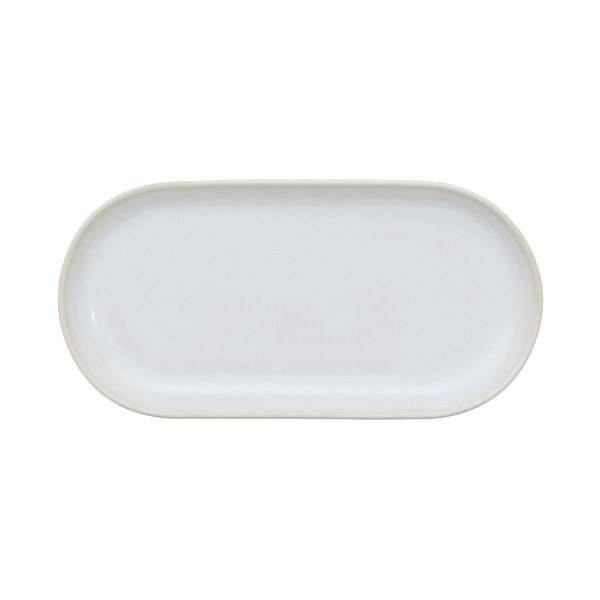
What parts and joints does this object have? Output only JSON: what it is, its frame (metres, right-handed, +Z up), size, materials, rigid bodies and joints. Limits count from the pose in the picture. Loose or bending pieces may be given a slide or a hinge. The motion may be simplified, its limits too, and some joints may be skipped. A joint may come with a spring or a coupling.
{
  "type": "asparagus plate",
  "caption": "Long round-ended stoneware serving plate with a flat well, a coved wall, a rounded cream lip and a low foot ring, for whole asparagus spears.",
  "frame": {"origin": "on the table surface, under the middle of the plate", "axes": "+X along the plate, +Y across it, +Z up out of the well"},
  "size_m": [0.35, 0.1724, 0.026],
  "materials": {
    "bare_clay": "unglazed pale stoneware, fine sandy, matt",
    "white_glaze": "bluish-white reactive glaze with faint clouds, glossy",
    "cream_glaze": "warm cream glaze where the white breaks thin over the lip, glossy"
  },
  "bodies": {
    "root": {"stoneware_body": "bare_clay", "well_glaze": "white_glaze", "rim_glaze": "cream_glaze", "wall_glaze": "white_glaze", "base_glaze": "white_glaze"}
  },
  "joints": []
}
